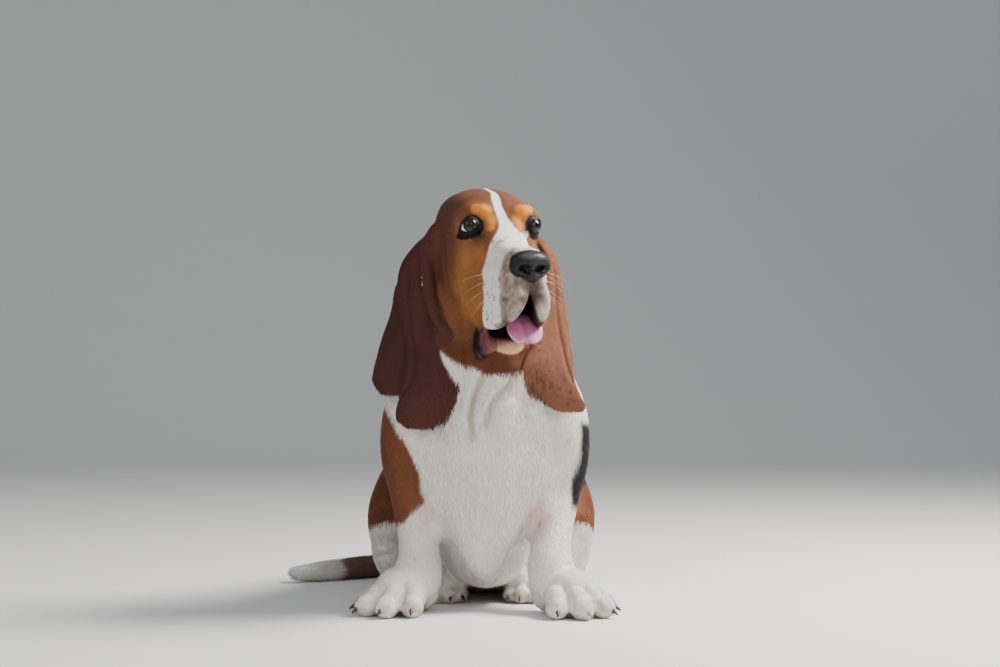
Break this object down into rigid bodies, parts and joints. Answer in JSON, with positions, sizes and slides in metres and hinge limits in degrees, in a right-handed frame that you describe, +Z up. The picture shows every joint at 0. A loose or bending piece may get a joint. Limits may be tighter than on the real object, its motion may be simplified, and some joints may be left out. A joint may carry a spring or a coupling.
{
  "type": "basset hound",
  "caption": "Sitting basset hound with its head turned, long folded ears, mouth open on its tongue and tail along the floor; a still, life-size display model.",
  "frame": {"origin": "middle of the model's footprint, on the floor it sits on", "axes": "+Z up; the chest faces -Y and the head turns towards +X; +X is the dog's left side"},
  "size_m": [0.4641, 0.6465, 0.5579],
  "materials": {
    "tan": "short tan coat",
    "white": "short white coat",
    "brown": "short dark brown coat on thin ear leather",
    "nose": "moist black nose leather",
    "eye": "wet dark brown eye",
    "tongue": "wet pink tongue"
  },
  "bodies": {
    "root": {"head": "tan", "neck": "white", "torso": "white", "foreleg_right": "white", "foreleg_left": "white", "hindleg_right": "white", "hindleg_left": "white", "tail": "white", "ear_right": "brown", "ear_left": "brown", "eye_right": "eye", "eye_left": "eye", "nose": "nose", "tongue": "tongue"}
  },
  "joints": []
}
